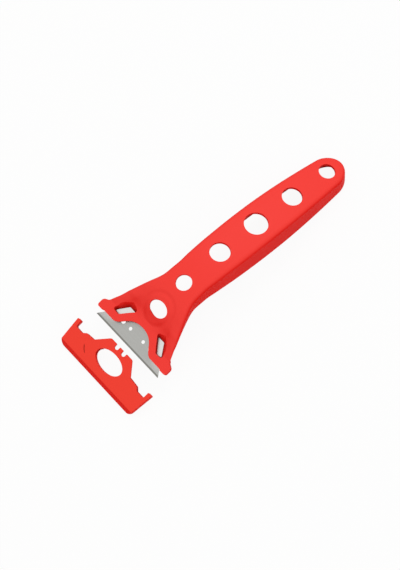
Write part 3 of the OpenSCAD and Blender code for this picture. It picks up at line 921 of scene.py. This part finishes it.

# %% [markdown]
# The masks come from those places: the painted highlight lies along the slanted ends, where the
# distance to the middle and the distance from the edge add up to 20 mm and more, and the ground
# band, painted darker as painted shade, ends at the width of the bevel. The rolling lines are about
# a millimetre apart. Real ones are finer, and they are drawn as coarse as they need to be to show.

# %% Rolled and ground steel
highlight_from, highlight_to, highlight_near, highlight_far, ground_blur = 20, 27, 1, 10, 0.15
roll_mm, roll_long_mm, roll_deep_mm, rolled_rough, ground_rough = 1.11, 40, 0.02, 0.36, 0.24
reach = add(t, "ShaderNodeMath", (-500, 360), operation="ADD",
            links={0: across.outputs[0], 1: depth.outputs["Value"]})
end_part = add(t, "ShaderNodeMapRange", (-300, 420),
               {"From Min": highlight_from * MM, "From Max": highlight_to * MM},
               {"Value": reach.outputs[0]}, interpolation_type="SMOOTHSTEP")
deep_part = add(t, "ShaderNodeMapRange", (-300, 660),
                {"From Min": highlight_near * MM, "From Max": highlight_far * MM},
                {"Value": depth.outputs["Value"]})
# painted highlight: the slanted ends of the blade are painted brighter
painted_highlight = add(t, "ShaderNodeMath", (-100, 420), operation="MULTIPLY",
             links={0: end_part.outputs["Result"], 1: deep_part.outputs["Result"]})
# the ground band at the cutting edge: smoother, and painted darker as painted shade
ground_and_shade = add(t, "ShaderNodeMapRange", (-300, 160),
             {"From Min": bevel_w * MM, "From Max": (bevel_w - ground_blur) * MM},
             {"Value": depth.outputs["Value"]}, interpolation_type="SMOOTHSTEP")
lines_map = add(t, "ShaderNodeMapping", (-900, -100),
                {"Scale": (per_metre(roll_mm), per_metre(roll_long_mm), per_metre(roll_mm))},
                {"Vector": coord.outputs["Object"]})
lines = add(t, "ShaderNodeTexNoise", (-700, -100), {"Scale": 1.0, "Detail": 4.0},
            {"Vector": lines_map.outputs["Vector"]})
rolled = add(t, "ShaderNodeMix", (-300, -60), data_type="RGBA",
             links={"Factor": lines.outputs["Fac"]})
rolled.inputs["A"].default_value = linear("#BEBEBA")
rolled.inputs["B"].default_value = linear("#B4B4B0")
# painted highlight: the ends are mixed toward a light grey
highlighted_grey = add(t, "ShaderNodeMix", (-80, 60), data_type="RGBA",
             links={"Factor": painted_highlight.outputs[0], "A": rolled.outputs["Result"]})
highlighted_grey.inputs["B"].default_value = linear("#ECECE9")
# painted shade: the ground band is mixed toward a darker grey
grey = add(t, "ShaderNodeMix", (140, 60), data_type="RGBA",
           links={"Factor": ground_and_shade.outputs["Result"], "A": highlighted_grey.outputs["Result"]})
grey.inputs["B"].default_value = linear("#8F8E88")
gloss = add(t, "ShaderNodeMapRange", (140, -120), {"To Min": rolled_rough, "To Max": ground_rough},
            {"Value": ground_and_shade.outputs["Result"]})
bump = add(t, "ShaderNodeBump", (140, -320), {"Strength": 0.1, "Distance": roll_deep_mm * MM},
           {"Height": lines.outputs["Fac"]})
shader = add(t, "ShaderNodeBsdfPrincipled", (500, 0), {"Metallic": 1.0},
             {"Base Color": grey.outputs["Result"], "Roughness": gloss.outputs["Result"],
              "Normal": bump.outputs["Normal"]})
t.links.new(shader.outputs["BSDF"], out.inputs["Surface"])
blade = nodes["blade"]
blade.data.materials.clear()
blade.data.materials.append(steel)
print("blade in", steel.name)

# %% [markdown]
# The stage is a plain white table top. To the camera, and to the steel that mirrors it, the table
# gives a steady white, and a small share of the plain diffuse top is kept in the mix, so that the
# tool still throws a faint shadow.

# %% Table top
floor_half, floor_z, white_share = 3.0, -0.0002, 0.93
floor = solid("floor", [(-floor_half, -floor_half, floor_z), (floor_half, -floor_half, floor_z),
                        (floor_half, floor_half, floor_z), (-floor_half, floor_half, floor_z)],
              [(0, 1, 2, 3)])
white = bpy.data.materials.new("white_table_top")
white.use_nodes = True
t = white.node_tree
t.nodes.clear()
out = add(t, "ShaderNodeOutputMaterial", (600, 0))
path = add(t, "ShaderNodeLightPath", (-600, 200))
seen = add(t, "ShaderNodeMath", (-400, 200), operation="MAXIMUM",
           links={0: path.outputs["Is Camera Ray"], 1: path.outputs["Is Glossy Ray"]})
seen_too = add(t, "ShaderNodeMath", (-200, 200), operation="MAXIMUM",
               links={0: seen.outputs[0], 1: path.outputs["Is Transmission Ray"]})
share = add(t, "ShaderNodeMath", (0, 200), operation="MULTIPLY", links={0: seen_too.outputs[0]})
share.inputs[1].default_value = white_share
matt = add(t, "ShaderNodeBsdfDiffuse", (0, 0), {"Color": linear("#E2E2E0")})
glow = add(t, "ShaderNodeEmission", (0, -150), {"Color": linear("#FFFFFF"), "Strength": 1.0})
both_ways = add(t, "ShaderNodeMixShader", (300, 0),
                links={0: share.outputs[0], 1: matt.outputs[0], 2: glow.outputs[0]})
t.links.new(both_ways.outputs[0], out.inputs["Surface"])
floor.data.materials.append(white)
print("table top", 2 * floor_half, "m wide")

# %% [markdown]
# The even sky is brighter overhead than at the horizon, as under a large soft box. One lamp behind
# on the right lights the back of the grip, and a weak one in front fills the skirt.

# %% World and lamps
sky_low, sky_high = 0.75, 0.92
world = bpy.data.worlds.new("pale studio")
bpy.context.scene.world = world
world.use_nodes = True
w = world.node_tree
sky = add(w, "ShaderNodeTexCoord", (-800, 0))
height = add(w, "ShaderNodeSeparateXYZ", (-600, 0), links={"Vector": sky.outputs["Generated"]})
level = add(w, "ShaderNodeMapRange", (-400, 0), {"To Min": sky_low, "To Max": sky_high},
            {"Value": height.outputs["Z"]})
w.nodes["Background"].inputs["Color"].default_value = (1.0, 1.0, 1.0, 1.0)
w.links.new(level.outputs["Result"], w.nodes["Background"].inputs["Strength"])


def lamp(name, place_at, size, power):
    data = bpy.data.lights.new(name, "AREA")
    data.shape, data.size, data.energy = "SQUARE", size, power
    made = bpy.data.objects.new(name, data)
    bpy.context.scene.collection.objects.link(made)
    made.location = place_at
    made.rotation_euler = (-Vector(place_at)).to_track_quat("-Z", "Y").to_euler()
    return made


key = lamp("key light", (0.65, 0.37, 1.05), size=0.5, power=3.2)
fill = lamp("fill light", (-0.3, -0.9, 0.9), size=0.9, power=1.0)
bpy.context.scene.view_settings.view_transform = "Standard"
print("lamps", key.data.energy, "and", fill.data.energy, "W")
